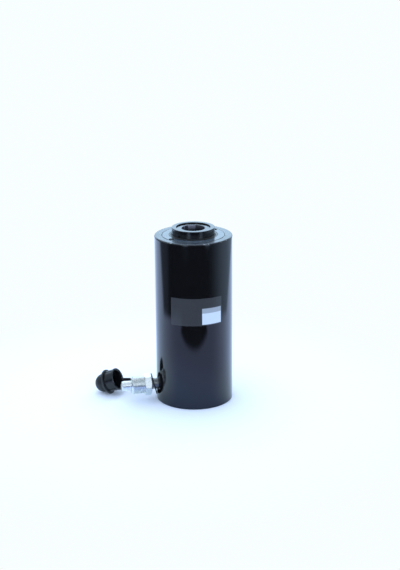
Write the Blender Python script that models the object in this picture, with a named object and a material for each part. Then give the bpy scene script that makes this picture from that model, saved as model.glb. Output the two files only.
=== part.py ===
"""Hollow plunger hydraulic cylinder: single acting, spring return, with its coupler and tethered dust cap.

The cylinder stands on its base with its bore along +Z. The coupler points along -X.
All lengths are in metres. Each size is written once below, and what fits it is worked out from it.
"""

from math import atan2, cos, hypot, pi, radians, sin

import bmesh
import bpy
from mathutils import Vector

# Barrel, and the hole right through the middle
barrel_od = 0.114
hole_d = 0.034
base_t = 0.018
barrel_top_round = 0.002
barrel_foot_chamfer = 0.0012
base_hole_lip = 0.006
mount_hole_d = 0.0085
mount_hole_depth = 0.012
mount_inset = 0.011

# Centre tube, screwed into the base
tube_foot_step = 0.00225
tube_top_drop = 0.0045

# Plunger with its piston head
plunger_stands_out = 0.0115
foot_step = 0.0035
foot_h = 0.0117
head_h = 0.032
plunger_edge = 0.0008

# Saddle, screwed into the plunger's top
saddle_step = 0.00235
saddle_h = 0.0125
saddle_sinks = 0.0013

# Gland nut that closes the barrel
gland_step = 0.0017
gland_h = 0.0298
gland_stands_out = 0.0001
gland_edge = 0.0004
spanner_hole_d = 0.006
spanner_hole_depth = 0.008
spanner_hole_angle = radians(28)
wiper_w = 0.0041
wiper_seat_depth = 0.0048
wiper_lip_h = 0.0013
bearing_h = 0.012
bearing_wall = 0.0026

# Seals and guide rings of the piston head
ucup_h = 0.007
backup_h = 0.0025
guide_h = 0.0075
outer_groove_depth = 0.0059
inner_groove_depth = 0.0052
guide_groove_depth = 0.0028
groove_land = 0.0045

# Stroke, and the return spring that still has room at its end
stroke = 0.1
spring_wire_d = 0.008
spring_turns = 7
spring_reserve = 0.004

# Coupler, on an axis that leaves the barrel at port_z
port_z = 0.0245
neck_d = 0.0173
port_wall = 0.002
neck_length = 0.01
neck_bore_d = 0.007
passage_d = 0.006
hex_flats = 0.0284
hex_length = 0.0105
hex_chamfer = 0.0026
coupler_thread_d = 0.0271
coupler_thread_length = 0.0195
coupler_lead = 0.0023
probe_d = 0.0145
probe_length = 0.0145
probe_round = 0.0025
valve_d = 0.0104
valve_mouth_d = 0.0068
valve_travel = 0.0025
valve_head_h = 0.0045
valve_wire_d = 0.0009
valve_spring_turns = 6
valve_spring_reserve = 0.0035
retainer_h = 0.002

# Tether: a ring round the neck, a strap and a band round the cap, moulded in one
ring_od = 0.032
ring_id = 0.019
tether_t = 0.0018
ring_lean = radians(14.3)
ring_yaw = radians(-4)
strap_w = 0.0048
strap_slack = 0.011
band_wall = 0.0033
band_w = 0.0032

# Dust cap, lying on the floor on the band round it, held up by the strap
cap_wall = 0.00235
cap_rim_step = 0.0006
cap_rim_w = 0.0018
cap_mouth_lead = 0.0013
cap_groove_depth = 0.0013
cap_cup_length = 0.0157
cap_lip_step = 0.0009
cap_lip_w = 0.0022
cap_knob_step = 0.001
cap_length = 0.0385
cap_rib_h = 0.0008
cap_ribs = 5
cap_lies_at = (-0.1251, 0.0411)
cap_azimuth = radians(-33.1)
cap_tilt = radians(22)

# Clearances
thread_gap = 0.0003
seat_gap = 0.0003
slide_gap = 0.0005
seal_gap = 0.0002
band_gap = 0.0004
cap_core_gap = 0.0006

# Radii: what lies between the hole and the outside is shared by barrel, spring, plunger and tube
barrel_r = barrel_od / 2
hole_r = hole_d / 2
between = barrel_r - hole_r
bore_r = barrel_r - 0.3125 * between
plunger_r = bore_r - 0.325 * between
tube_r = hole_r + 0.13125 * between
plunger_bore_r = tube_r + slide_gap
tube_foot_r = tube_r + tube_foot_step
base_hole_r = hole_r + slide_gap
foot_r = bore_r - foot_step
saddle_r = tube_r + saddle_step
thread_r = bore_r + gland_step
wiper_seat_r = plunger_r + wiper_w
spanner_circle_r = (thread_r + wiper_seat_r) / 2
mount_circle_r = barrel_r - mount_inset

# Heights and reaches
neck_reach = barrel_r - bore_r - port_wall
piston_z = base_t + seat_gap
head_z = piston_z + foot_h
head_top = head_z + head_h
gland_z = head_top + seat_gap + stroke + spring_turns * spring_wire_d + spring_reserve
gland_top = gland_z + gland_h
barrel_h = gland_top - gland_stands_out
plunger_top = barrel_h + plunger_stands_out
saddle_top = plunger_top - saddle_sinks
saddle_z = saddle_top - saddle_h
tube_top = saddle_z - tube_top_drop
gland_bore_r = plunger_r + slide_gap
hex_reach = barrel_r + neck_length
thread_reach = hex_reach + hex_length
probe_reach = thread_reach + coupler_thread_length
tip_reach = probe_reach + probe_length

# The cap fits the coupler's thread and probe, and the band round it touches the floor
cap_mouth_r = coupler_thread_d / 2 + thread_gap
cap_core_r = probe_d / 2 + cap_core_gap
cap_cup_r = cap_mouth_r + cap_wall
cap_rim_r = cap_cup_r + cap_rim_step
cap_groove_r = cap_cup_r - cap_groove_depth
cap_lip_r = cap_groove_r + cap_lip_step
knob_r = cap_groove_r - cap_knob_step
band_in = cap_groove_r + band_gap
band_r = band_in + band_wall
band_round = 0.3 * band_wall
band_z = band_r * cos(cap_tilt) + (band_w / 2 - band_round) * sin(cap_tilt) + band_gap / 4
cup_back = band_w / 2 + seat_gap
mouth_at = cup_back + cap_cup_length
knob_end = mouth_at - cap_length
knob_mid = knob_end + knob_r


def material(name, color, roughness, metallic=0.0):
    made = bpy.data.materials.new(name)
    made.use_nodes = True
    shader = made.node_tree.nodes["Principled BSDF"]
    shader.inputs["Base Color"].default_value = (*color, 1)
    shader.inputs["Roughness"].default_value = roughness
    shader.inputs["Metallic"].default_value = metallic
    made.diffuse_color = (*color, 1)
    return made


def empty(name, parent, location, rotation=(0, 0, 0)):
    made = bpy.data.objects.new(name, None)
    made.empty_display_size = 0.02
    made.location = location
    made.rotation_euler = rotation
    made.parent = parent
    bpy.context.collection.objects.link(made)
    return made


def placed(name, mesh, finish, parent, location=(0, 0, 0), rotation=(0, 0, 0)):
    made = bpy.data.objects.new(name, mesh)
    made.location = location
    made.rotation_euler = rotation
    made.parent = parent
    bpy.context.collection.objects.link(made)
    if finish:
        mesh.materials.append(finish)
    return made


def turned(name, profile, steps, finish, parent, location=(0, 0, 0), rotation=(0, 0, 0)):
    """A piece turned about its own Z axis. The profile's (r, z) points run down its outer side.

    A profile that starts and ends on the axis is solid. Any other is closed into a ring.
    """
    mesh = bpy.data.meshes.new(name)
    edges = [(i, i + 1) for i in range(len(profile) - 1)]
    if profile[0][0] > 0 or profile[-1][0] > 0:
        edges.append((len(profile) - 1, 0))
    mesh.from_pydata([(r, 0, z) for r, z in profile], edges, [])
    made = placed(name, mesh, finish, parent, location, rotation)
    turn = made.modifiers.new("turn", "SCREW")
    turn.axis = "Z"
    turn.steps = steps
    turn.render_steps = steps
    turn.use_merge_vertices = True
    turn.merge_threshold = 0.00001
    turn.use_smooth_shade = False
    return made


def drill(name, diameter, length, parent, location, rotation=(0, 0, 0), sides=16):
    """A cutter with a drill's point: it starts at its origin and goes length along its own Z."""
    r = diameter / 2
    profile = [(0, length + 0.4 * r), (r, length), (r, 0), (0, 0)]
    return guide(turned(name, profile, sides, None, parent, location, rotation))


def guide(tool):
    tool.hide_render = True
    tool.display_type = "WIRE"
    return tool


def boolean(target, tool, operation="DIFFERENCE"):
    made = target.modifiers.new(tool.name, "BOOLEAN")
    made.object = tool
    made.operation = operation
    made.solver = "EXACT"


def smooth(piece, angle=radians(35)):
    piece.data.shade_smooth()
    piece.data.set_sharp_from_angle(angle=angle)


def tube_along(name, points, r, sides, finish, parent, floor=None, ceiling=None, **place):
    """A wire of radius r along a coil's points, ground flat at the floor and the ceiling."""
    bm = bmesh.new()
    rings = []
    for i, p in enumerate(points):
        ahead = points[min(i + 1, len(points) - 1)] - points[max(i - 1, 0)]
        ahead.normalize()
        out = Vector((p.x, p.y, 0)).normalized()
        up = ahead.cross(out).normalized()
        ring = []
        for k in range(sides):
            turn = 2 * pi * (k + 0.5) / sides
            q = p + r * (cos(turn) * out + sin(turn) * up)
            if floor is not None:
                q.z = min(max(q.z, floor), ceiling)
            ring.append(bm.verts.new(q))
        rings.append(ring)
    for a, b in zip(rings, rings[1:]):
        for k in range(sides):
            j = (k + 1) % sides
            bm.faces.new((a[k], a[j], b[j], b[k]))
    bm.faces.new(reversed(rings[0]))
    bm.faces.new(rings[-1])
    bmesh.ops.recalc_face_normals(bm, faces=bm.faces)
    mesh = bpy.data.meshes.new(name)
    bm.to_mesh(mesh)
    bm.free()
    return placed(name, mesh, finish, parent, **place)


def coil_points(mean_r, low, high, turns, end_pitch, per_turn):
    """A helix whose first and last turns are closed and whose other turns share the height."""
    count = turns * per_turn
    pitch = (high - low - 2 * end_pitch) / (turns - 2)
    points = []
    for i in range(count + 1):
        t = i / per_turn
        z = low + end_pitch * min(t, 1) + pitch * min(max(t - 1, 0), turns - 2)
        z += end_pitch * max(t - turns + 1, 0)
        angle = 2 * pi * t
        points.append(Vector((mean_r * cos(angle), mean_r * sin(angle), z)))
    return points


for old in list(bpy.data.objects):
    bpy.data.objects.remove(old, do_unlink=True)

black_paint = material("black_paint", (0.012, 0.012, 0.014), 0.18)
black_steel = material("black_steel", (0.03, 0.03, 0.032), 0.32, 0.8)
bare_steel = material("bare_steel", (0.55, 0.56, 0.58), 0.3, 1.0)
spring_steel = material("spring_steel", (0.16, 0.16, 0.17), 0.45, 0.9)
zinc_plate = material("zinc_plate", (0.78, 0.79, 0.8), 0.22, 1.0)
bronze = material("bronze", (0.48, 0.3, 0.13), 0.4, 1.0)
black_rubber = material("black_rubber", (0.012, 0.012, 0.012), 0.6)
seal_plastic = material("seal_plastic", (0.05, 0.09, 0.16), 0.5)
black_plastic = material("black_plastic", (0.014, 0.014, 0.015), 0.38)

# The origin is under the middle of the box that holds the barrel and the cap where it lies
knob_at = Vector(cap_lies_at)
knob_at += knob_mid * cos(cap_tilt) * Vector((cos(cap_azimuth), sin(cap_azimuth)))
left = min(knob_at.x - knob_r, -tip_reach)
back = max(knob_at.y + knob_r, barrel_r)
assembly = empty("assembly", None, (-(left + barrel_r) / 2, -(back - barrel_r) / 2, 0))
stroke_axis = empty("stroke_axis", assembly, (0, 0, 0))
coupler_axis = empty("coupler_axis", assembly, (0, 0, port_z), (0, -pi / 2, 0))

# Barrel: one turned cup with the gland's thread at its mouth
barrel_profile = [
    (thread_r + gland_edge, barrel_h),
    (barrel_r - barrel_top_round, barrel_h),
    (barrel_r - 0.29 * barrel_top_round, barrel_h - 0.29 * barrel_top_round),
    (barrel_r, barrel_h - barrel_top_round),
    (barrel_r, barrel_foot_chamfer),
    (barrel_r - barrel_foot_chamfer, 0),
    (base_hole_r, 0),
    (base_hole_r, base_hole_lip),
    (tube_foot_r + thread_gap, base_hole_lip),
    (tube_foot_r + thread_gap, base_t),
    (bore_r, base_t),
    (bore_r, gland_z - seat_gap),
    (thread_r, gland_z - seat_gap),
    (thread_r, barrel_h - gland_edge),
]
barrel = turned("barrel_body", barrel_profile, 60, black_paint, assembly)
port_floor = barrel_r - neck_reach
port_profile = [
    (0, barrel_r + 0.003),
    (neck_d / 2 + thread_gap, barrel_r + 0.003),
    (neck_d / 2 + thread_gap, port_floor - seat_gap),
    (passage_d / 2, port_floor - seat_gap),
    (passage_d / 2, bore_r - 0.004),
    (0, bore_r - 0.004),
]
port_cutter = guide(turned("port_cutter", port_profile, 24, None, coupler_axis))
boolean(barrel, port_cutter)
for side in (1, -1):
    hole = drill(
        f"mount_hole_cutter_{'back' if side > 0 else 'front'}",
        mount_hole_d,
        mount_hole_depth + 0.001,
        assembly,
        (0, side * mount_circle_r, -0.001),
    )
    boolean(barrel, hole)
smooth(barrel)

# Centre tube with its sealed foot
ring_z = base_hole_lip + seat_gap + 0.4 * (base_t - base_hole_lip)
tube_profile = [
    (hole_r + plunger_edge, tube_top),
    (tube_r - plunger_edge, tube_top),
    (tube_r, tube_top - plunger_edge),
    (tube_r, base_t),
    (tube_foot_r, base_t),
    (tube_foot_r, ring_z + 0.0012),
    (tube_foot_r - 0.0017, ring_z + 0.0012),
    (tube_foot_r - 0.0017, ring_z - 0.0012),
    (tube_foot_r, ring_z - 0.0012),
    (tube_foot_r, base_hole_lip + seat_gap),
    (hole_r, base_hole_lip + seat_gap),
    (hole_r, tube_top - plunger_edge),
]
smooth(turned("centre_tube", tube_profile, 32, bare_steel, assembly))
section = 0.0008
ring_r = tube_foot_r - 0.0007
tube_seal_profile = [
    (ring_r + section * cos(radians(a)), ring_z + section * sin(radians(a)))
    for a in (60, 0, -60, -120, 180, 120)
]
smooth(turned("centre_tube_seal", tube_seal_profile, 24, black_rubber, assembly))

# Plunger: the rod, the piston head that the spring pushes on, and the foot that clears the port
guide_z = head_z + groove_land
seal_z = guide_z + guide_h + 2 * seat_gap + groove_land
seal_top = seal_z + ucup_h + backup_h + 3 * seat_gap
head_r = bore_r - seat_gap
plunger_profile = [
    (saddle_r + thread_gap, plunger_top),
    (plunger_r - plunger_edge, plunger_top),
    (plunger_r, plunger_top - plunger_edge),
    (plunger_r, head_top),
    (head_r, head_top),
    (head_r, seal_top),
    (bore_r - outer_groove_depth, seal_top),
    (bore_r - outer_groove_depth, seal_z),
    (head_r, seal_z),
    (head_r, guide_z + guide_h + 2 * seat_gap),
    (bore_r - guide_groove_depth, guide_z + guide_h + 2 * seat_gap),
    (bore_r - guide_groove_depth, guide_z),
    (head_r, guide_z),
    (head_r, head_z),
    (foot_r, head_z),
    (foot_r, piston_z),
    (plunger_bore_r, piston_z),
    (plunger_bore_r, guide_z),
    (tube_r + guide_groove_depth, guide_z),
    (tube_r + guide_groove_depth, guide_z + guide_h + 2 * seat_gap),
    (plunger_bore_r, guide_z + guide_h + 2 * seat_gap),
    (plunger_bore_r, seal_z),
    (tube_r + inner_groove_depth, seal_z),
    (tube_r + inner_groove_depth, seal_top),
    (plunger_bore_r, seal_top),
    (plunger_bore_r, saddle_z - seat_gap),
    (saddle_r + thread_gap, saddle_z - seat_gap),
]
smooth(turned("plunger", plunger_profile, 40, black_steel, stroke_axis))
saddle_profile = [
    (hole_r + plunger_edge, saddle_top),
    (saddle_r - plunger_edge, saddle_top),
    (saddle_r, saddle_top - plunger_edge),
    (saddle_r, saddle_z),
    (hole_r, saddle_z),
    (hole_r, saddle_top - plunger_edge),
]
smooth(turned("saddle", saddle_profile, 40, black_steel, stroke_axis))


def ucup(name, inner, outer):
    """A U-shaped lip seal whose lips open down, toward the oil."""
    wall = (outer - inner) / 2
    low = seal_z + seat_gap
    profile = [
        (inner, low + ucup_h),
        (outer, low + ucup_h),
        (outer, low),
        (outer - 0.6 * wall, low),
        (inner + wall, low + 0.45 * ucup_h),
        (inner + 0.6 * wall, low),
        (inner, low),
    ]
    smooth(turned(name, profile, 28, seal_plastic, stroke_axis))


def band(name, inner, outer, low, height, finish, parent, steps=28):
    profile = [(inner, low + height), (outer, low + height), (outer, low), (inner, low)]
    smooth(turned(name, profile, steps, finish, parent))


outer_in = bore_r - outer_groove_depth + seat_gap
outer_out = bore_r - seal_gap
inner_in = tube_r + seal_gap
inner_out = tube_r + inner_groove_depth - seat_gap
backup_z = seal_z + ucup_h + 2 * seat_gap
ucup("piston_ucup", outer_in, outer_out)
ucup("inner_ucup", inner_in + 0.0001, inner_out)
band("piston_backup_ring", outer_in, outer_out, backup_z, backup_h, black_plastic, stroke_axis)
band("inner_backup_ring", inner_in + 0.0001, inner_out, backup_z, backup_h, black_plastic, stroke_axis)
band(
    "piston_guide_ring",
    bore_r - guide_groove_depth + seat_gap,
    outer_out,
    guide_z + seat_gap,
    guide_h,
    bronze,
    stroke_axis,
)
band(
    "inner_guide_ring",
    inner_in + 0.0001,
    tube_r + guide_groove_depth - seat_gap,
    guide_z + seat_gap,
    guide_h,
    bronze,
    stroke_axis,
)

# Gland nut with its bearing and wiper
bearing_z = gland_z + (gland_h - wiper_seat_depth - bearing_h) / 2
wiper_z = gland_top - wiper_seat_depth
gland_r = thread_r - thread_gap
gland_profile = [
    (wiper_seat_r, gland_top),
    (gland_r - gland_edge, gland_top),
    (gland_r, gland_top - gland_edge),
    (gland_r, gland_z),
    (gland_bore_r, gland_z),
    (gland_bore_r, bearing_z),
    (gland_bore_r + bearing_wall, bearing_z),
    (gland_bore_r + bearing_wall, bearing_z + bearing_h),
    (gland_bore_r, bearing_z + bearing_h),
    (gland_bore_r, wiper_z),
    (wiper_seat_r, wiper_z),
]
gland = turned("gland_nut", gland_profile, 60, black_steel, assembly)
for side in (0, 1):
    angle = spanner_hole_angle + side * pi
    at = Vector((cos(angle), sin(angle), 0)) * spanner_circle_r
    at.z = gland_top + 0.001
    pin_hole = drill(
        f"spanner_hole_cutter_{side + 1}",
        spanner_hole_d,
        spanner_hole_depth + 0.001,
        assembly,
        at,
        (pi, 0, 0),
    )
    boolean(gland, pin_hole)
smooth(gland)
band(
    "gland_bearing",
    plunger_r + seal_gap,
    gland_bore_r + bearing_wall - seat_gap,
    bearing_z + seat_gap,
    bearing_h - 2 * seat_gap,
    bronze,
    assembly,
    40,
)
lip_r = plunger_r + seal_gap
wiper_profile = [
    (lip_r, gland_top + wiper_lip_h),
    (lip_r + 0.0008, gland_top + wiper_lip_h),
    (lip_r + 0.0018, gland_top),
    (wiper_seat_r - seat_gap, gland_top),
    (wiper_seat_r - seat_gap, wiper_z + seat_gap),
    (lip_r, wiper_z + seat_gap),
]
smooth(turned("gland_wiper", wiper_profile, 40, black_rubber, assembly))

# Return spring, round the plunger, between the piston head and the gland
wire_r = spring_wire_d / 2
spring_low = head_top + seat_gap
spring_high = gland_z - seat_gap
spring_points = coil_points(
    (plunger_r + bore_r) / 2,
    spring_low + 0.55 * wire_r,
    spring_high - 0.55 * wire_r,
    spring_turns,
    spring_wire_d + seat_gap,
    14,
)
smooth(
    tube_along(
        "return_spring",
        spring_points,
        wire_r,
        6,
        spring_steel,
        assembly,
        floor=spring_low,
        ceiling=spring_high,
    ),
    radians(70),
)

# Adapter that joins the coupler to the barrel's port
neck_r = neck_d / 2
socket_depth = hex_length - 0.0007
adapter_profile = [
    (neck_bore_d / 2, hex_reach + socket_depth - seat_gap),
    (neck_r - 0.001, hex_reach + socket_depth - seat_gap),
    (neck_r, hex_reach + socket_depth - 0.0013),
    (neck_r, port_floor + 0.001),
    (neck_r - 0.0008, port_floor),
    (neck_bore_d / 2, port_floor),
]
smooth(turned("coupler_adapter", adapter_profile, 20, zinc_plate, coupler_axis))

# Coupler body: a hexagon, the thread for the hose's collar and the probe with the valve in it
hex_r = hex_flats / 2 / cos(pi / 6)
coupler_thread_r = coupler_thread_d / 2
probe_r = probe_d / 2
valve_r = valve_d / 2
mouth_r = valve_mouth_d / 2
socket_floor = hex_reach + socket_depth
cone_end = tip_reach - probe_round - 0.0025
cone_start = cone_end - (valve_r - mouth_r)
coupler_profile = [
    (mouth_r, tip_reach),
    (probe_r - probe_round, tip_reach),
    (probe_r - 0.29 * probe_round, tip_reach - 0.29 * probe_round),
    (probe_r, tip_reach - probe_round),
    (probe_r, probe_reach),
    (coupler_thread_r - coupler_lead, probe_reach),
    (coupler_thread_r, probe_reach - coupler_lead),
    (coupler_thread_r, thread_reach),
    (hex_r - hex_chamfer, thread_reach),
    (hex_r, thread_reach - 0.58 * hex_chamfer),
    (hex_r, hex_reach + 0.58 * hex_chamfer),
    (hex_r - hex_chamfer, hex_reach),
    (neck_r + thread_gap, hex_reach),
    (neck_r + thread_gap, socket_floor),
    (valve_r, socket_floor),
    (valve_r, cone_start),
    (mouth_r, cone_end),
]
coupler = turned("coupler_body", coupler_profile, 28, zinc_plate, coupler_axis)
bm = bmesh.new()
rims = []
for r in (hex_r, 2 * hex_r):
    rims += bmesh.ops.create_circle(bm, segments=6, radius=r)["verts"]
bmesh.ops.bridge_loops(bm, edges=bm.edges[:])
grown = bmesh.ops.extrude_face_region(bm, geom=bm.faces[:])["geom"]
lifted = [v for v in grown if isinstance(v, bmesh.types.BMVert)]
bmesh.ops.translate(bm, verts=lifted, vec=(0, 0, hex_length + 0.001))
bmesh.ops.recalc_face_normals(bm, faces=bm.faces)
flats = bpy.data.meshes.new("hex_flats_cutter")
bm.to_mesh(flats)
bm.free()
boolean(coupler, guide(placed("hex_flats_cutter", flats, None, coupler_axis, (0, 0, hex_reach - 0.001))))
smooth(coupler)

# Valve: a poppet that the hose's half pushes in, its seal, its spring and the ring behind it
head_reach = cone_start - seat_gap
poppet_back = head_reach - valve_head_h
valve_spring_h = valve_travel + valve_spring_turns * valve_wire_d + valve_spring_reserve
retainer_top = poppet_back - valve_spring_h - 2 * seat_gap
retainer_profile = [
    (0.45 * valve_r, retainer_top),
    (valve_r - seal_gap, retainer_top),
    (valve_r - seal_gap, retainer_top - retainer_h),
    (0.45 * valve_r, retainer_top - retainer_h),
]
smooth(turned("poppet_retainer", retainer_profile, 20, zinc_plate, coupler_axis))
nose_r = mouth_r - 2 * slide_gap
poppet_profile = [
    (0, tip_reach - slide_gap),
    (nose_r, tip_reach - slide_gap),
    (nose_r, cone_end - seat_gap),
    (valve_r - 0.0014, head_reach - seat_gap),
    (valve_r - 0.0014, head_reach - 0.0014),
    (valve_r - slide_gap, head_reach - 0.0014),
    (valve_r - slide_gap, poppet_back),
    (0, poppet_back),
]
poppet_axis = empty("poppet_axis", coupler_axis, (0, 0, 0))
smooth(turned("poppet", poppet_profile, 20, bare_steel, poppet_axis))
oring_r = valve_r - 0.0009
oring_z = head_reach - 0.0008
poppet_ring_profile = [
    (oring_r + 0.00045 * cos(radians(a)), oring_z + 0.00045 * sin(radians(a)))
    for a in (45, -45, -135, 135)
]
smooth(turned("poppet_o_ring", poppet_ring_profile, 20, black_rubber, poppet_axis))
valve_wire_r = valve_wire_d / 2
valve_points = coil_points(
    valve_r - slide_gap - 2 * valve_wire_r,
    retainer_top + seat_gap + 0.6 * valve_wire_r,
    poppet_back - seat_gap - 0.6 * valve_wire_r,
    valve_spring_turns,
    valve_wire_d + 0.0001,
    8,
)
smooth(
    tube_along(
        "poppet_spring",
        valve_points,
        valve_wire_r,
        5,
        spring_steel,
        coupler_axis,
        floor=retainer_top + seat_gap,
        ceiling=poppet_back - seat_gap,
    ),
    radians(70),
)

# Tether: it swings about the coupler's axis with its ring in the gap between barrel and hexagon
neck_at = Vector((-(barrel_r + neck_length / 2), 0, port_z))
tether_axis = empty("tether_swing_axis", assembly, neck_at)
band_at = Vector((*cap_lies_at, band_z)) - neck_at
axis_out = Vector(
    (cos(cap_tilt) * cos(cap_azimuth), cos(cap_tilt) * sin(cap_azimuth), sin(cap_tilt))
)
sideways = Vector((-sin(cap_azimuth), cos(cap_azimuth), 0))
upright = axis_out.cross(sideways)
cap_turn = (0, pi / 2 - cap_tilt, cap_azimuth)

ring_r_in = ring_id / 2
ring_r_out = ring_od / 2
soft = 0.25 * tether_t
ring_profile = [
    (ring_r_in, tether_t / 2),
    (ring_r_out - soft, tether_t / 2),
    (ring_r_out, tether_t / 2 - soft),
    (ring_r_out, -tether_t / 2 + soft),
    (ring_r_out - soft, -tether_t / 2),
    (ring_r_in, -tether_t / 2),
]
neck_ring = guide(
    turned("neck_ring", ring_profile, 24, None, tether_axis, (0, 0, 0), (0, -pi / 2 - ring_lean, ring_yaw))
)
band_profile = [
    (band_in, band_w / 2),
    (band_r - band_round, band_w / 2),
    (band_r, band_w / 2 - band_round),
    (band_r, -band_w / 2 + band_round),
    (band_r - band_round, -band_w / 2),
    (band_in, -band_w / 2),
]
cap_band = guide(turned("cap_band", band_profile, 32, None, tether_axis, band_at, cap_turn))

middle_r = 0.5 * (ring_r_in + ring_r_out)
start = middle_r * Vector((-sin(ring_yaw), cos(ring_yaw), 0))
end = band_at + (band_r - 0.45 * band_wall) * sideways
reach_out = start + Vector((0, strap_slack, 0.0005))
reach_in = end + 0.65 * strap_slack * sideways + 0.75 * strap_slack * axis_out
reach_in.z -= strap_slack
bm = bmesh.new()
rows = []
spans = 16
half_t = 0.45 * tether_t
half_w = strap_w / 2
for i in range(spans + 1):
    t = i / spans
    s = 1 - t
    at = s**3 * start + 3 * s * s * t * reach_out + 3 * s * t * t * reach_in + t**3 * end
    ahead = s * s * (reach_out - start) + 2 * s * t * (reach_in - reach_out) + t * t * (end - reach_in)
    ahead.normalize()
    wide = s * Vector((-sin(ring_lean), 0, cos(ring_lean))) + t * upright
    wide -= wide.dot(ahead) * ahead
    wide.normalize()
    thick = ahead.cross(wide)
    corners = ((1, 0.6), (0.8, 1), (-0.8, 1), (-1, 0.6), (-1, -0.6), (-0.8, -1), (0.8, -1), (1, -0.6))
    rows.append([bm.verts.new(at + half_w * a * wide + half_t * b * thick) for a, b in corners])
for a, b in zip(rows, rows[1:]):
    for k in range(8):
        j = (k + 1) % 8
        bm.faces.new((a[k], a[j], b[j], b[k]))
bm.faces.new(reversed(rows[0]))
bm.faces.new(rows[-1])
bmesh.ops.recalc_face_normals(bm, faces=bm.faces)
strap = bpy.data.meshes.new("cap_tether")
bm.to_mesh(strap)
bm.free()
tether = placed("cap_tether", strap, black_rubber, tether_axis)
boolean(tether, neck_ring, "UNION")
boolean(tether, cap_band, "UNION")
smooth(tether)

# Dust cap, turned about its own axis with the mouth up along its Z, then panelled between its ribs
cap_axis = empty("cap_spin_axis", tether_axis, band_at, cap_turn)
socket_deep = coupler_thread_length + slide_gap
core_deep = socket_deep + probe_length + seat_gap
knob_start = -(cup_back + cap_lip_w)
cap_profile = [
    (0, mouth_at - core_deep),
    (cap_core_r, mouth_at - core_deep),
    (cap_core_r, mouth_at - socket_deep),
    (cap_mouth_r, mouth_at - socket_deep),
    (cap_mouth_r, mouth_at - cap_mouth_lead),
    (cap_mouth_r + cap_mouth_lead, mouth_at),
    (cap_rim_r - 0.0004, mouth_at),
    (cap_rim_r, mouth_at - 0.0004),
    (cap_rim_r, mouth_at - cap_rim_w),
    (cap_cup_r, mouth_at - cap_rim_w - 0.0004),
    (cap_cup_r, cup_back),
    (cap_groove_r, cup_back),
    (cap_groove_r, -cup_back),
    (cap_lip_r, -cup_back),
    (cap_lip_r, knob_start + 0.0006),
    (cap_lip_r - 0.0006, knob_start),
    (knob_r, knob_start),
]
for step in range(4):
    turn = step * pi / 8
    cap_profile.append((knob_r * cos(turn), knob_mid - knob_r * sin(turn)))
cap_profile.append((0, knob_end))
bm = bmesh.new()
line = [bm.verts.new((r, 0, z)) for r, z in cap_profile]
edges = [bm.edges.new(pair) for pair in zip(line, line[1:])]
bmesh.ops.spin(
    bm,
    geom=line + edges,
    cent=(0, 0, 0),
    axis=(0, 0, 1),
    steps=6 * cap_ribs,
    angle=2 * pi,
    use_merge=True,
)
bmesh.ops.remove_doubles(bm, verts=bm.verts, dist=0.00001)
bmesh.ops.recalc_face_normals(bm, faces=bm.faces)
low, high = cup_back, mouth_at - cap_rim_w - 0.0004
for rib in range(cap_ribs):
    middle = 2 * pi * rib / cap_ribs
    panel = []
    for face in bm.faces:
        at = face.calc_center_median()
        apart = (atan2(at.y, at.x) - middle + pi) % (2 * pi) - pi
        outside = hypot(at.x, at.y) > cap_cup_r - 0.0003
        if outside and low < at.z < high and abs(apart) < 2 * pi / (3 * cap_ribs):
            panel.append(face)
    bmesh.ops.inset_region(bm, faces=panel, thickness=0.0006, depth=-cap_rib_h)
cap_mesh = bpy.data.meshes.new("dust_cap")
bm.to_mesh(cap_mesh)
bm.free()
smooth(placed("dust_cap", cap_mesh, black_plastic, cap_axis))
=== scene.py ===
"""A hollow plunger cylinder with its coupler and its tethered dust cap, set up for a studio picture.

The script follows the cylinder as it is put together, from the barrel inward and then out to the cap.
"""
from math import atan2, cos, hypot, pi, radians, sin

import bmesh
import bpy
from mathutils import Matrix, Vector


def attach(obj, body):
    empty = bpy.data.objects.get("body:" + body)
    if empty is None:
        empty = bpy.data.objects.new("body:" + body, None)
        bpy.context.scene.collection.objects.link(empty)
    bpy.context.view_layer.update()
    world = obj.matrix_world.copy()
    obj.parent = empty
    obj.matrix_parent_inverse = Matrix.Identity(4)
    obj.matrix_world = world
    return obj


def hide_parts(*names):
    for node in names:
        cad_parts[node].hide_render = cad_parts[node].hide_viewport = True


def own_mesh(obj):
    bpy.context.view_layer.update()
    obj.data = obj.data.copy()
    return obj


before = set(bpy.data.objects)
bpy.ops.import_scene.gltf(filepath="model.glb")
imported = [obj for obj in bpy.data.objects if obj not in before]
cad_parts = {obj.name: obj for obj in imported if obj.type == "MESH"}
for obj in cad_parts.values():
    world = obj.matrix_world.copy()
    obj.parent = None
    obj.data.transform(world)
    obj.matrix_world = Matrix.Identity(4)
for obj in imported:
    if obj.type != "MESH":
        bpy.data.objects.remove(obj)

scene = bpy.context.scene
scene.view_settings.view_transform = "Standard"
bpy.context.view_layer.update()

# Camera: a long lens 1.8 m in front of the barrel's axis, a little to its left and half a metre above
# its top. It looks down at the cylinder and is tipped by less than half a degree, as it was held.
axis = Vector((0.043719, -0.000772, 0))
stand = radians(12)
stand_off = 1.8268
eye_height = 0.7481
heading, pitch, roll = radians(-12.29), radians(72.57), radians(-0.38)
lens = bpy.data.cameras.new("camera")
lens.lens = 82.1
lens.sensor_width = 36
camera = bpy.data.objects.new("camera", lens)
eye = axis + Vector((-stand_off * sin(stand), -stand_off * cos(stand), eye_height))
aim = Matrix.Rotation(heading, 4, "Z") @ Matrix.Rotation(pitch, 4, "X") @ Matrix.Rotation(roll, 4, "Z")
camera.matrix_world = Matrix.Translation(eye) @ aim
scene.collection.objects.link(camera)
scene.camera = camera


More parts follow.
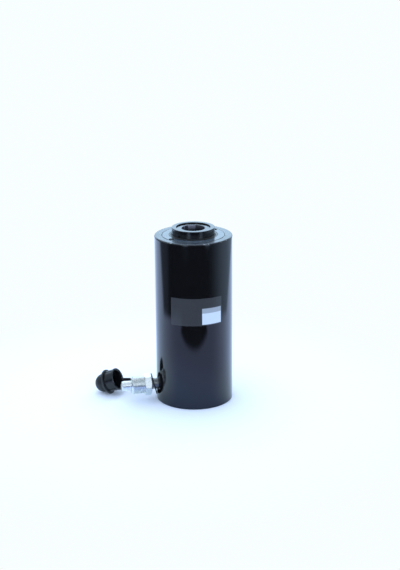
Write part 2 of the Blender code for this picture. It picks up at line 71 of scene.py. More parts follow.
# Floor: a wide sheet of matt paper, white with a blue cast. Near the cylinder it takes the shadows, and
# further off it burns out to white. Reflections show it bluer, and brightest behind the cylinder.
class Link:
    """The output of a shader node. Arithmetic on it adds Math nodes, and node() adds any other kind."""

    def __init__(self, tree, socket=None):
        self.tree = tree
        self.socket = socket

    def node(self, kind, settings=None, inputs=None, output=0):
        made = self.tree.nodes.new("ShaderNode" + kind)
        for name, value in (settings or {}).items():
            setattr(made, name, value)
        for name, value in (inputs or {}).items():
            if isinstance(value, Link):
                self.tree.links.new(value.socket, made.inputs[name])
            else:
                made.inputs[name].default_value = value
        return Link(self.tree, made.outputs[output])

    def math(self, operation, *values, clamp=False):
        settings = {"operation": operation, "use_clamp": clamp}
        return self.node("Math", settings, dict(enumerate(values)))

    def __add__(self, other):
        return self.math("ADD", self, other)

    def __sub__(self, other):
        return self.math("SUBTRACT", self, other)

    def __rsub__(self, other):
        return self.math("SUBTRACT", other, self)

    def __mul__(self, other):
        return self.math("MULTIPLY", self, other)

    __radd__ = __add__
    __rmul__ = __mul__

    def __abs__(self):
        return self.math("ABSOLUTE", self)

    def rise(self, low, high):
        """0 below low, 1 above high, and smooth between them. It falls where low is above high."""
        inputs = {"Value": self, "From Min": low, "From Max": high}
        return self.node("MapRange", {"interpolation_type": "SMOOTHSTEP"}, inputs)

    def tint(self, first, second):
        """Goes from the first colour to the second as this link goes from 0 to 1."""
        inputs = {0: self}
        for socket, color in ((6, first), (7, second)):
            inputs[socket] = color if isinstance(color, Link) else (*color, 1)
        return self.node("Mix", {"data_type": "RGBA"}, inputs, 2)

    def shifted(self, offset):
        """This vector less the offset."""
        return self.node("VectorMath", {"operation": "SUBTRACT"}, {0: self, 1: offset})

    def part(self, index):
        """The X, Y or Z of this vector, as 0, 1 or 2."""
        return self.node("SeparateXYZ", None, {0: self}, index)

    def turned(self, angle):
        """This vector as it reads on axes that are turned by an angle about Z."""
        settings = {"vector_type": "TEXTURE"}
        return self.node("Mapping", settings, {"Vector": self, "Rotation": (0, 0, -angle)})

    def bearing(self):
        """How far round Z this vector points from -Y, in radians, with +X positive."""
        return self.math("ARCTAN2", self.part(0), -1 * self.part(1))

    def length(self, share=(1, 1, 1)):
        """How long this vector is once each of its parts is multiplied by its share."""
        scaled = self.node("VectorMath", {"operation": "MULTIPLY"}, {0: self, 1: share})
        return scaled.node("VectorMath", {"operation": "LENGTH"}, {0: scaled}, 1)

    def noise(self, scale, detail=2.0, share=(1, 1, 1)):
        """Cloudy noise on this vector, with about scale clouds to the metre."""
        at = self
        if share != (1, 1, 1):
            at = self.node("VectorMath", {"operation": "MULTIPLY"}, {0: self, 1: share})
        return self.node("TexNoise", None, {"Vector": at, "Scale": scale, "Detail": detail})

    def lines(self, scale, detail=2.0):
        """Uneven lines along this number, with about scale lines to the metre."""
        inputs = {"W": self, "Scale": scale, "Detail": detail}
        return self.node("TexNoise", {"noise_dimensions": "1D"}, inputs)

    def bump(self, depth, below=None):
        """A bump as high as this link times depth, in metres, on top of the bump below."""
        inputs = {"Height": self, "Distance": depth}
        if below:
            inputs["Normal"] = below
        return self.node("Bump", None, inputs)


paper = bpy.data.materials.new("studio_paper")
paper.use_nodes = True
paper.node_tree.nodes.remove(paper.node_tree.nodes["Principled BSDF"])
place = Link(paper.node_tree).node("TexCoord", output="Object")
off_front = abs(place.shifted(axis).turned(stand).bearing())
behind = off_front.rise(radians(42), radians(122))
beside = off_front.rise(radians(35), radians(85))
mirrored = place.node("LightPath", output="Is Glossy Ray")
shade = mirrored.tint((0.935, 0.935, 1.05), beside.tint((0.50, 0.61, 0.94), (0.95, 1.02, 1.07)))
sheet = place.node("BsdfDiffuse", None, {"Color": shade})
glow = mirrored.tint((0.94, 0.995, 1), behind.tint((0.50, 0.60, 1.02), (1.15, 1.50, 2.20)))
burnt = place.node("Emission", None, {"Color": glow, "Strength": 1})
ray = place.node("LightPath", output="Is Camera Ray") + mirrored
ray = ray.math("ADD", ray, place.node("LightPath", output="Is Transmission Ray"), clamp=True)
reach = place.length()
near_or_far = mirrored * reach.rise(0.05, 0.3) + (1 - mirrored) * reach.rise(0.06, 0.42)
surface = place.node("MixShader", None, {0: ray * near_or_far, 1: sheet, 2: burnt})
paper.node_tree.links.new(surface.socket, paper.node_tree.nodes["Material Output"].inputs["Surface"])
bm = bmesh.new()
bmesh.ops.create_circle(bm, cap_ends=True, segments=96, radius=14)
bmesh.ops.translate(bm, verts=bm.verts, vec=(0, 0, -0.00005))
mesh = bpy.data.meshes.new("paper_floor")
bm.to_mesh(mesh)
bm.free()
mesh.materials.append(paper)
floor = bpy.data.objects.new("paper_floor", mesh)
scene.collection.objects.link(floor)

# Dark front of the studio: the paper ends half a metre in front of the cylinder, and the camera stands
# there. Only reflections show it, as a dark sheet with a broad square tongue that reaches nearer and
# with the light of two windows on it.
windows = (radians(-24), radians(41))
dark = bpy.data.materials.new("studio_front")
dark.use_nodes = True
dark.node_tree.nodes.remove(dark.node_tree.nodes["Principled BSDF"])
place = Link(dark.node_tree).node("TexCoord", output="Object")
turned_to = place.turned(stand)
side = turned_to.bearing()
reach = place.length()
edge = reach.rise(0.43, 0.48)
tongue = abs(turned_to.part(0)).rise(0.27, 0.22) * (-1 * turned_to.part(1)).rise(0.285, 0.335)
left_end = (side + reach * radians(34)).rise(radians(-88), radians(-74))
left_end = left_end * (side.rise(radians(-84), radians(-70)) * 0.14 + 0.86)
right_end = (side - reach * radians(90)).rise(radians(74), radians(60))
covered = edge.math("MAXIMUM", edge, tongue) * left_end * right_end
grey = side.rise(radians(38), radians(98)) * 0.85
for window in windows:
    grey = grey + abs(side - window).rise(radians(11), radians(3)) * reach.rise(0.968, 0.978) * 1.8
gloom = place.node("Emission", None, {"Color": (0.52, 0.72, 1, 1), "Strength": grey})
clear = place.node("BsdfTransparent")
surface = place.node("MixShader", None, {0: covered, 1: clear, 2: gloom})
dark.node_tree.links.new(surface.socket, dark.node_tree.nodes["Material Output"].inputs["Surface"])
bm = bmesh.new()
bmesh.ops.create_circle(bm, cap_ends=True, segments=96, radius=6)
mesh = bpy.data.meshes.new("dark_front")
bm.to_mesh(mesh)
bm.free()
mesh.materials.append(dark)
front = bpy.data.objects.new("dark_front", mesh)
front.location = axis + Vector((0, 0, 0.0002))
for kind in ("camera", "diffuse", "transmission", "volume_scatter", "shadow"):
    setattr(front, "visible_" + kind, False)
scene.collection.objects.link(front)

# Light: the pale room itself, which is darker towards the camera but for two windows, a large soft lamp
# overhead, one over the camera, and a lower one behind that the flat tops mirror to the camera.
world = bpy.data.worlds.new("studio")
scene.world = world
world.use_nodes = True
world.node_tree.nodes.remove(world.node_tree.nodes["Background"])
away = Link(world.node_tree).node("TexCoord", output="Generated").turned(stand)
toward_camera = (-1 * away.part(1)).rise(-0.15, 0.4)
low = away.part(2).rise(0.34, 0.12)
mirrored = away.node("LightPath", output="Is Glossy Ray")
panes = sum(abs(away.bearing() - window).rise(radians(12), radians(4)) for window in windows)
panes = panes * mirrored * away.part(2).rise(0.16, 0.24) * away.part(2).rise(0.46, 0.38)
wall = (toward_camera * low * mirrored * (1 - panes)).tint((0.64, 0.82, 1), (0.08, 0.12, 0.19))
room = away.node("Background", None, {"Color": wall, "Strength": 1.4 - 0.6 * mirrored + 5 * panes})
white = away.node("Background", None, {"Color": (1, 1, 1, 1), "Strength": 1})
seen = away.node("LightPath", output="Is Camera Ray")
mixed = away.node("MixShader", None, {0: seen, 1: room, 2: white})
world.node_tree.links.new(mixed.socket, world.node_tree.nodes["World Output"].inputs["Surface"])


def lamp(name, size, power, color, location, target):
    """A soft rectangular lamp that shines at the target. Its size is its width and height."""
    light = bpy.data.lights.new(name, "AREA")
    light.shape = "RECTANGLE"
    light.size, light.size_y = size
    light.energy = power
    light.color = color
    made = bpy.data.objects.new(name, light)
    made.location = location
    made.rotation_euler = (Vector(target) - Vector(location)).to_track_quat("-Z", "Y").to_euler()
    made.visible_camera = False
    scene.collection.objects.link(made)


lamp("overhead_lamp", (3.0, 3.0), 13, (0.84, 0.92, 1), (0.0, 0.8, 1.9), (0, 0, 0.1))
lamp("front_lamp", (4.0, 1.8), 7, (0.92, 0.96, 1), (-0.5, -2.2, 1.55), (0, 0, 0.1))
lamp("back_lamp", (2.6, 0.7), 12, (0.52, 0.76, 1), (0.35, 1.7, 0.76), (0.04, 0, 0.25))


# Barrel: a cup turned from thick steel tube and bar, with the thread for the gland at its mouth, the
# tapped port in its side and two tapped holes in its base. Outside it has thick gloss black enamel.
def turned(profile, steps=144, soft=4):
    """A shape turned about Z from (radius, height) points that run down its outer side. It is solid if it
    starts and ends on the axis, and otherwise a ring. A third number in a point rounds that corner, and a
    guard line on each side of it keeps the long faces flat."""
    closed = profile[0][0] > 0
    path = []
    for i, point in enumerate(profile):
        for other in (profile[i - 1], point, profile[(i + 1) % len(profile)]):
            across, up = other[0] - point[0], other[1] - point[1]
            if other is point:
                path.append(point[:2])
            elif len(point) == 3 and hypot(across, up) > 4 * point[2]:
                share = 1.3 * point[2] / hypot(across, up)
                path.append((point[0] + share * across, point[1] + share * up))
    bm = bmesh.new()
    line = [bm.verts.new((r, 0, z)) for r, z in path]
    pairs = list(zip(line, line[1:]))
    if closed:
        pairs.append((line[-1], line[0]))
    edges = [bm.edges.new(pair) for pair in pairs]
    bmesh.ops.spin(
        bm,
        geom=line + edges,
        cent=(0, 0, 0),
        axis=(0, 0, 1),
        steps=steps,
        angle=2 * pi,
        use_merge=True,
    )
    bmesh.ops.remove_doubles(bm, verts=bm.verts, dist=0.000001)
    bmesh.ops.recalc_face_normals(bm, faces=bm.faces)
    for corner in profile:
        if len(corner) == 3:
            ring = [
                edge
                for edge in bm.edges
                if all(abs(hypot(v.co.x, v.co.y) - corner[0]) < 1e-6 for v in edge.verts)
                and all(abs(v.co.z - corner[1]) < 1e-6 for v in edge.verts)
            ]
            bmesh.ops.bevel(
                bm,
                geom=ring,
                offset=corner[2],
                offset_type="OFFSET",
                affect="EDGES",
                segments=soft,
                profile=0.5,
                material=-1,
            )
    return bm


def carved(bm, tool, operation="DIFFERENCE"):
    """The first shape with the second cut out of it, joined to it or kept inside it."""
    pair = []
    for shape in (bm, tool):
        mesh = bpy.data.meshes.new("blank")
        shape.to_mesh(mesh)
        shape.free()
        pair.append(bpy.data.objects.new("blank", mesh))
        scene.collection.objects.link(pair[-1])
    cutter = pair[0].modifiers.new("cut", "BOOLEAN")
    cutter.operation = operation
    cutter.solver = "EXACT"
    cutter.object = pair[1]
    bpy.context.view_layer.update()
    result = bmesh.new()
    result.from_object(pair[0], bpy.context.evaluated_depsgraph_get())
    for blank in pair:
        bpy.data.meshes.remove(blank.data)
    return result


def piece(name, bm, finish, body, *nodes, turn=None, sharp=38):
    """A finished piece of the cylinder: its shape is put in place, shaded smooth up to its sharp edges,
    and rides on a body in place of the nodes."""
    if turn:
        bmesh.ops.transform(bm, matrix=turn, verts=bm.verts)
    mesh = bpy.data.meshes.new(name)
    bm.to_mesh(mesh)
    bm.free()
    mesh.shade_smooth()
    mesh.set_sharp_from_angle(angle=radians(sharp))
    mesh.materials.append(finish)
    made = bpy.data.objects.new(name, mesh)
    scene.collection.objects.link(made)
    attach(made, body)
    if nodes:
        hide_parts(*nodes)
    return made


def finish(name, **constants):
    """A material with these numbers on its Principled shader. Returns it, a call that feeds the shader's
    sockets with links, and the piece's own coordinates."""
    made = bpy.data.materials.new(name)
    made.use_nodes = True
    shader = made.node_tree.nodes["Principled BSDF"]
    for socket, value in constants.items():
        shader.inputs[socket.replace("_", " ")].default_value = value

    def feed(**links):
        for socket, link in links.items():
            made.node_tree.links.new(link.socket, shader.inputs[socket.replace("_", " ")])

    return made, feed, Link(made.node_tree).node("TexCoord", output="Object")


barrel_r = 0.057
bore_r = 0.0445
mouth_r = 0.0462
barrel_top = 0.252
gland_seat = 0.222
bore_floor = 0.018
port_z = 0.0245
socket_r = 0.00895
on_axis = Matrix.Translation(axis)
out_of_port = Matrix.Translation(axis + Vector((0, 0, port_z))) @ Matrix.Rotation(-pi / 2, 4, "Y")
enamel, feed, place = finish("gloss_black_enamel", IOR=1.58)
around = place.shifted(axis)
from_axis = around.length((1, 1, 0))
height = around.part(2)
inside = from_axis.rise(mouth_r + 0.0008, mouth_r + 0.0002)
coat_height = around.noise(330, 2) * 0.35 + around.noise(52, 1)
dulled = around.noise(38, 4).rise(0.42, 0.72)
dust = around.noise(2600, 1).rise(0.70, 0.76)
black = dust.tint((0.0048, 0.0045, 0.0050), (0.020, 0.020, 0.022))
# Painted sheen: the enamel's flat top gets a bluish dark grey base colour that stands in for the soft sky
# light it catches. It is also rougher.
sheen_top_face = height.rise(barrel_top - 0.0008, barrel_top - 0.0002)
rim = height.rise(barrel_top - 0.0012, barrel_top - 0.0007) + height.rise(0.0005, 0.0002)
rim = rim * from_axis.rise(barrel_r - 0.0014, barrel_r - 0.0008)
chipped = rim * around.noise(240, 4).rise(0.60, 0.63)
steel = inside.math("MAXIMUM", inside, chipped)
feed(
    Base_Color=steel.tint(sheen_top_face.tint(black, (0.030, 0.040, 0.056)), (0.38, 0.39, 0.41)),
    Metallic=steel,
    Roughness=dulled * 0.05 + 0.055 + sheen_top_face * 0.16 + steel * 0.25,
    Normal=coat_height.bump(0.00002),
)
shell = turned(
    [
        (bore_r + 0.0021, barrel_top, 0.0001),
        (barrel_r, barrel_top, 0.002),
        (barrel_r, 0, 0.0012),
        (0.0175, 0, 0.0004),
        (0.0175, 0.006),
        (0.0248, 0.006),
        (0.0248, bore_floor),
        (bore_r, bore_floor),
        (bore_r, gland_seat),
        (mouth_r, gland_seat),
        (mouth_r, barrel_top - 0.0004),
    ],
    steps=180,
    soft=6,
)
bmesh.ops.transform(shell, matrix=on_axis, verts=shell.verts)
port = turned(
    [
        (0, 0.060),
        (0.0104, 0.060),
        (socket_r, 0.0562),
        (socket_r, 0.0462),
        (0.003, 0.0462),
        (0.003, 0.04),
        (0, 0.04),
    ],
    steps=48,
)
bmesh.ops.transform(port, matrix=out_of_port, verts=port.verts)
shell = carved(shell, port)
bolt_circle_r = 0.046
for side in (1, -1):
    bolt_hole = turned(
        [
            (0, 0.0137),
            (0.00425, 0.012),
            (0.00425, 0.0008),
            (0.0054, -0.0004),
            (0.0054, -0.001),
            (0, -0.001),
        ],
        steps=32,
    )
    bmesh.ops.translate(bolt_hole, verts=bolt_hole.verts, vec=axis + Vector((0, side * bolt_circle_r, 0)))
    shell = carved(shell, bolt_hole)
piece("barrel", shell, enamel, "barrel", "barrel_body")

# Label: a glossy charcoal sticker that follows the barrel's round. It is bare, with a plain pale field at
# its lower right.
label_left, label_right = radians(-137.3), radians(-58)
label_low, label_high = 0.1300, 0.1712
label_corner_r = 0.0012
film_thickness = 0.00012
film, feed, place = finish("charcoal_sticker", IOR=1.5)
around = place.shifted(axis)
height = around.part(2)
bearing = height.math("ARCTAN2", around.part(1), around.part(0))
across = bearing.rise(radians(-90.2), radians(-89.9)) * bearing.rise(radians(-59.0), radians(-59.3))
field = across * height.rise(0.1315, 0.1318) * height.rise(0.1562, 0.1559)
band = height.rise(0.1485, 0.1488)
pale = band.tint((0.56, 0.60, 0.68), (0.31, 0.33, 0.37))
charcoal = around.noise(900, 2).tint((0.034, 0.034, 0.037), (0.048, 0.048, 0.052))
feed(
    Base_Color=field.tint(charcoal, pale),
    Roughness=around.noise(120, 3) * 0.08 + 0.12,
    Normal=around.noise(70, 1).bump(0.00002),
)
bm = bmesh.new()
edge_line = [bm.verts.new((barrel_r + 0.00004, 0, z)) for z in (label_low, label_high)]
edge_line.append(bm.edges.new(edge_line))
bmesh.ops.rotate(bm, verts=bm.verts, cent=(0, 0, 0), matrix=Matrix.Rotation(label_left, 3, "Z"))
bmesh.ops.spin(bm, geom=edge_line, cent=(0, 0, 0), axis=(0, 0, 1), steps=48, angle=label_right - label_left)
bmesh.ops.bevel(
    bm,
    geom=[v for v in bm.verts if len(v.link_edges) == 2],
    offset=label_corner_r,
    affect="VERTICES",
    segments=4,
    profile=0.5,
    material=-1,
)
bmesh.ops.recalc_face_normals(bm, faces=bm.faces)
if bm.faces[0].normal.dot(bm.faces[0].calc_center_median()) < 0:
    bmesh.ops.reverse_faces(bm, faces=bm.faces)
bmesh.ops.solidify(bm, geom=bm.faces, thickness=-film_thickness)
sticker = piece("label_sticker", bm, film, "barrel", turn=on_axis)

# Centre tube: a ground steel liner, screwed into the base, that the plunger slides on. Rods and cables
# pass through it. Its bore is plain turned steel, dulled by handling oil.
tube_r = 0.02225
hole_r = 0.017
liner, feed, place = finish("ground_tube", Metallic=0.5)
around = place.shifted(axis)
marks = around.part(2).lines(2600, 3)
oily = around.noise(45, 3).rise(0.35, 0.7)
feed(
    Base_Color=oily.tint((0.50, 0.46, 0.49), (0.32, 0.29, 0.31)),
    Roughness=marks * 0.12 + 0.30,
    Normal=marks.bump(0.000012),
)
tube_top = 0.2452
tube = turned(
    [
        (hole_r, tube_top, 0.0008),
        (tube_r, tube_top, 0.0008),
        (tube_r, bore_floor),
        (0.0245, bore_floor),
        (0.0245, 0.0123),
        (0.0228, 0.0123),
        (0.0228, 0.0099),
        (0.0245, 0.0099),
        (0.0245, 0.0063, 0.0003),
        (hole_r, 0.0063, 0.0006),
    ],
    steps=128,
)
piece("centre_liner", tube, liner, "barrel", "centre_tube", turn=on_axis)

# Plunger: the hollow rod with its piston head, turned in one from bar. The rod is nitrided black and
# polished, and its top stands out of the gland as a collar round the saddle. The gland has the same
# finish, with a painted pale bluish sheen on its flat face and painted shade in its pin holes. The
# saddle's bore is paler towards its mouth, in vertical streaks: partly bare scuffs, partly painted light.
plunger_r = 0.0315
plunger_top = 0.2635
head_r = 0.0442
slide_r = 0.02275
gland_top = 0.2521
blackened, feed, place = finish("nitrided_steel", Metallic=0.0, IOR=1.55)
around = place.shifted(axis)
from_axis = around.length((1, 1, 0))
height = around.part(2)
ground = height.lines(3500, 2)
circles = from_axis.lines(3000, 2)
patches = around.noise(90, 3).rise(0.3, 0.7)
# Painted sheen: the gland's flat face gets a pale bluish base colour that stands in for the soft sky light
# it catches.
face = height.rise(gland_top - 0.00015, gland_top - 0.00005)
face = face * height.rise(gland_top + 0.0003, gland_top + 0.0001) * from_axis.rise(0.0362, 0.0368)
# Painted shade: the pin holes get a darker base colour for the shade inside them. They are also rougher.
below = height + from_axis.rise(0.0449, 0.0451) * 0.0005
shaded_pin_holes = below.rise(gland_top - 0.00003, gland_top - 0.0001) * from_axis.rise(0.0360, 0.0364)
# The saddle's bore is painted paler towards its mouth, in vertical streaks: partly bare scuffs, partly
# painted light falling into the bore, with painted streaks of highlight.
bore_scuffs_and_light = from_axis.rise(0.0176, 0.0172) * height.rise(0.2525, 0.2615)
bore_scuffs_and_light = bore_scuffs_and_light * (around.noise(130, 1, (1, 1, 0.05)).rise(0.42, 0.58) * 0.8 + 0.2)
black = patches.tint((0.0040, 0.0040, 0.0050), (0.0065, 0.0065, 0.0075))
black_and_lit_bore = bore_scuffs_and_light.tint(black, (0.24, 0.23, 0.29))
feed(
    Base_Color=shaded_pin_holes.tint(face.tint(black_and_lit_bore, (0.056, 0.074, 0.098)), (0.0015, 0.0015, 0.0015)),
    Roughness=patches * 0.06 + 0.14 + shaded_pin_holes * 0.4 + bore_scuffs_and_light * 0.2,
    Normal=circles.bump(0.0000008, ground.bump(0.0000015)),
)
rod = turned(
    [
        (0.0249, plunger_top, 0.0004),
        (plunger_r, plunger_top, 0.0008),
        (plunger_r, 0.062),
        (head_r, 0.062, 0.0006),
        (head_r, 0.0560),
        (0.0386, 0.0560),
        (0.0386, 0.0466),
        (head_r, 0.0466),
        (head_r, 0.0421),
        (0.0417, 0.0421),
        (0.0417, 0.0345),
        (head_r, 0.0345),
        (head_r, 0.030, 0.0006),
        (0.041, 0.030),
        (0.041, 0.0183, 0.0006),
        (slide_r, 0.0183, 0.0006),
        (slide_r, 0.0345),
        (0.02505, 0.0345),
        (0.02505, 0.0426),
        (slide_r, 0.0426),
        (slide_r, 0.0471),
        (0.02745, 0.0471),
        (0.02745, 0.0575),
        (slide_r, 0.0575),
        (slide_r, 0.2494),
        (0.0249, 0.2494),
    ],
    steps=144,
)
piece("hollow_plunger", rod, blackened, "plunger", "plunger", turn=on_axis)

# Saddle: a turned and blackened ring, screwed into the plunger's top a little below its rim. The nut on
# the pulled rod bears on it.
saddle_top = 0.2617
ring = turned(
    [
        (hole_r, saddle_top, 0.0008),
        (0.0246, saddle_top, 0.0006),
        (0.0246, 0.2497, 0.0004),
        (hole_r, 0.2497, 0.0004),
    ],
    steps=128,
)
piece("plunger_saddle", ring, blackened, "plunger", "saddle", turn=on_axis)

# Seals and bearings: moulded and turned rings that stay out of sight. They keep the model's own shape.
polyurethane, feed, place = finish("blue_polyurethane", IOR=1.5)
cloud = place.noise(140, 2)
feed(
    Base_Color=cloud.tint((0.035, 0.065, 0.13), (0.06, 0.105, 0.18)),
    Roughness=cloud * 0.12 + 0.38,
    Normal=place.noise(1800, 2).bump(0.000008),
)
filled, feed, place = finish("filled_nylon", IOR=1.5)
grain = place.noise(900, 3)
feed(
    Base_Color=grain.tint((0.012, 0.012, 0.013), (0.024, 0.024, 0.026)),
    Roughness=grain * 0.15 + 0.35,
    Normal=grain.bump(0.00001),
)
bearing_bronze, feed, place = finish("bearing_bronze", Metallic=1.0)
grain = place.noise(700, 3)
feed(
    Base_Color=grain.tint((0.40, 0.25, 0.10), (0.55, 0.36, 0.17)),
    Roughness=grain * 0.15 + 0.3,
    Normal=place.noise(60, 2, (1, 1, 40)).bump(0.00001),
)
nitrile, feed, place = finish("black_nitrile", IOR=1.5)
grain = place.noise(1600, 3)
feed(
    Base_Color=grain.tint((0.009, 0.009, 0.010), (0.016, 0.016, 0.017)),
    Roughness=grain * 0.15 + 0.42,
    Normal=grain.bump(0.000008),
)
for node, material in (
    ("piston_ucup", polyurethane),
    ("inner_ucup", polyurethane),
    ("piston_backup_ring", filled),
    ("inner_backup_ring", filled),
    ("piston_guide_ring", bearing_bronze),
    ("inner_guide_ring", bearing_bronze),
    ("gland_bearing", bearing_bronze),
    ("centre_tube_seal", nitrile),
    ("poppet_o_ring", nitrile),
):
    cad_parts[node].material_slots[0].material = material

# Gland nut: a blackened steel ring, screwed into the barrel's mouth until its face is level with it.
# Two countersunk holes take a pin spanner, and its bore holds the bearing and the wiper.
gland_r = 0.0459
gland_hole_r = 0.0320
bearing_r = 0.0346
wiper_seat_r = 0.0356
pin_circle_r = 0.04075
pin_hole_r = 0.003
pin_rim_r = 0.0043
gland = turned(
    [
        (wiper_seat_r, gland_top, 0.0002),
        (0.0452, gland_top, 0.0001),
        (0.0457, gland_top - 0.0005),
        (0.0457, gland_top - 0.0015),
        (gland_r, gland_top - 0.0017),
        (gland_r, 0.2223, 0.0004),
        (gland_hole_r, 0.2223, 0.0003),
        (gland_hole_r, 0.2288),
        (bearing_r, 0.2288),
        (bearing_r, 0.2408),
        (gland_hole_r, 0.2408),
        (gland_hole_r, 0.2473),
        (wiper_seat_r, 0.2473),
    ],
    steps=160,
)
for side in (0, 1):
    angle = radians(28) + side * pi
    pin_hole = turned(
        [
            (0, 0.0010),
            (pin_rim_r, 0.0010),
            (pin_rim_r, 0.0001),
            (pin_hole_r, -0.0012),
            (pin_hole_r, -0.008),
            (0, -0.0092),
        ],
        steps=40,
    )
    spot = Vector((pin_circle_r * cos(angle), pin_circle_r * sin(angle), gland_top))
    bmesh.ops.translate(pin_hole, verts=pin_hole.verts, vec=spot)
    gland = carved(gland, pin_hole)
piece("gland_ring", gland, blackened, "barrel", "gland_nut", turn=on_axis)

# Wiper: a black rubber lip moulded in a thin blackened steel case, which is pressed into the gland. The
# lip stands up round the rod and keeps dirt out.
cased, feed, place = finish("cased_wiper", IOR=1.33)
around = place.shifted(axis)
case = around.length((1, 1, 0)).rise(0.0334, 0.0336)
grain = around.noise(1600, 3)
lip = grain.tint((0.006, 0.006, 0.007), (0.010, 0.010, 0.011))
feed(
    Base_Color=case.tint(lip, (0.011, 0.011, 0.012)),
    Roughness=grain * 0.10 + 0.30 - case * 0.16,
    Normal=grain.bump(0.000006),
)
lip_r = 0.0317
case_r = 0.0353
wiper = turned(
    [
        (lip_r, gland_top + 0.0013, 0.0002),
        (lip_r + 0.0009, gland_top + 0.0013, 0.0004),
        (lip_r + 0.0018, gland_top, 0.0003),
        (case_r, gland_top, 0.0003),
        (case_r, 0.2476),
        (lip_r, 0.2476),
    ],
    steps=128,
)
piece("rod_wiper", wiper, cased, "barrel", "gland_wiper", turn=on_axis)


# Return spring: drawn dark wire coiled round the rod between the piston head and the gland. Its end
# turns are closed and ground flat. In use it packs up against the gland as the plunger rises; here it
# is drawn at one length, with the plunger down.
def coil(wire, mean, low, high, turns, per_turn=40, sides=14):
    """A compression spring along Z with closed, flat-ground ends, turned from one ring of wire."""
    bm = bmesh.new()
    bmesh.ops.create_circle(bm, segments=sides, radius=wire)
    upright = Matrix.Translation((mean, 0, low + 0.55 * wire)) @ Matrix.Rotation(pi / 2, 4, "X")
    bmesh.ops.transform(bm, matrix=upright, verts=bm.verts)
    last = bm.verts[:] + bm.edges[:]
    closed = 2 * wire + 0.0002
    open_pitch = (high - low - 1.1 * wire - 2 * closed) / (turns - 2)
    for count, pitch in ((1, closed), (turns - 2, open_pitch), (1, closed)):
        swept = bmesh.ops.spin(
            bm,
            geom=last,
            cent=(0, 0, 0),
            axis=(0, 0, 1),
            dvec=(0, 0, pitch / per_turn),
            steps=per_turn * count,
            angle=2 * pi * count,
        )
        last = swept["geom_last"]
    bmesh.ops.holes_fill(bm, edges=[edge for edge in bm.edges if edge.is_boundary], sides=0)
    for vert in bm.verts:
        vert.co.z = min(max(vert.co.z, low), high)
    bmesh.ops.recalc_face_normals(bm, faces=bm.faces)
    return bm


wire, feed, place = finish("drawn_wire", Metallic=1.0)
scale_marks = place.noise(220, 4)
feed(
    Base_Color=scale_marks.tint((0.10, 0.10, 0.11), (0.20, 0.195, 0.19)),
    Roughness=scale_marks * 0.2 + 0.32,
    Normal=scale_marks.bump(0.00003),
)
main_coil = coil(wire=0.004, mean=0.038, low=0.0623, high=gland_seat, turns=7)
spring = piece("return_coil", main_coil, wire, "barrel", "return_spring", turn=on_axis, sharp=60)
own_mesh(spring)


# Adapter: a zinc plated steel nipple with a taper pipe thread at both ends. A centimetre of it shows
# between the barrel's port and the hexagon.
def threaded(crest, root, low, high, pitch, bore, lead=0.0, taper=0.0, steps=48):
    """A threaded sleeve along Z: one pitch of the thread is swept up its screw line, cut square at both
    ends and joined to its bore. The lead slopes the far end, and the taper narrows the near one."""
    bm = bmesh.new()
    foot = low - 1.5 * pitch
    outline = [(root, 0), (root, 0.12), (crest, 0.44), (crest, 0.56), (root, 0.88), (root, 1)]
    line = [bm.verts.new((r, 0, foot + share * pitch)) for r, share in outline]
    line += [bm.edges.new(pair) for pair in zip(line, line[1:])]
    turns = int((high - foot) / pitch) + 2
    bmesh.ops.spin(
        bm,
        geom=line,
        cent=(0, 0, 0),
        axis=(0, 0, 1),
        dvec=(0, 0, pitch / steps),
        steps=steps * turns,
        angle=2 * pi * turns,
    )
    bmesh.ops.remove_doubles(bm, verts=bm.verts, dist=0.000002)
    for vert in bm.verts:
        r = hypot(vert.co.x, vert.co.y)
        most = min(r - taper * (high - vert.co.z), crest - max(0, vert.co.z - high + lead))
        vert.co.x *= most / r
        vert.co.y *= most / r
    for level, side in ((low, -1), (high, 1)):
        bmesh.ops.bisect_plane(
            bm,
            geom=bm.verts[:] + bm.edges[:] + bm.faces[:],
            dist=0.000001,
            plane_co=(0, 0, level),
            plane_no=(0, 0, side),
            clear_outer=True,
        )
    inner = [bm.verts.new((bore, 0, level)) for level in (low, high)]
    inner.append(bm.edges.new(inner))
    bmesh.ops.spin(
        bm,
        geom=inner,
        cent=(0, 0, 0),
        axis=(0, 0, 1),
        steps=steps,
        angle=2 * pi,
        use_merge=True,
    )
    for level in (low, high):
        open_edges = [edge for edge in bm.edges if edge.is_boundary]
        rims = [e for e in open_edges if all(abs(v.co.z - level) < 1e-6 for v in e.verts)]
        bmesh.ops.bridge_loops(bm, edges=rims)
    bmesh.ops.recalc_face_normals(bm, faces=bm.faces)
    return bm


nipple, feed, place = finish("plated_nipple", Metallic=1.0)
stain = place.noise(420, 3).rise(0.35, 0.7)
feed(
    Base_Color=stain.tint((0.54, 0.54, 0.54), (0.34, 0.34, 0.34)),
    Roughness=stain * 0.12 + 0.24,
    Normal=place.noise(1500, 3).bump(0.00001),
)
thread_pitch = 0.00141
stub = threaded(
    crest=0.00865,
    root=0.0080,
    low=0.0465,
    high=0.0765,
    pitch=thread_pitch,
    bore=0.0035,
    taper=0.01,
)
piece("pipe_nipple", stub, nipple, "barrel", "coupler_adapter", turn=out_of_port)

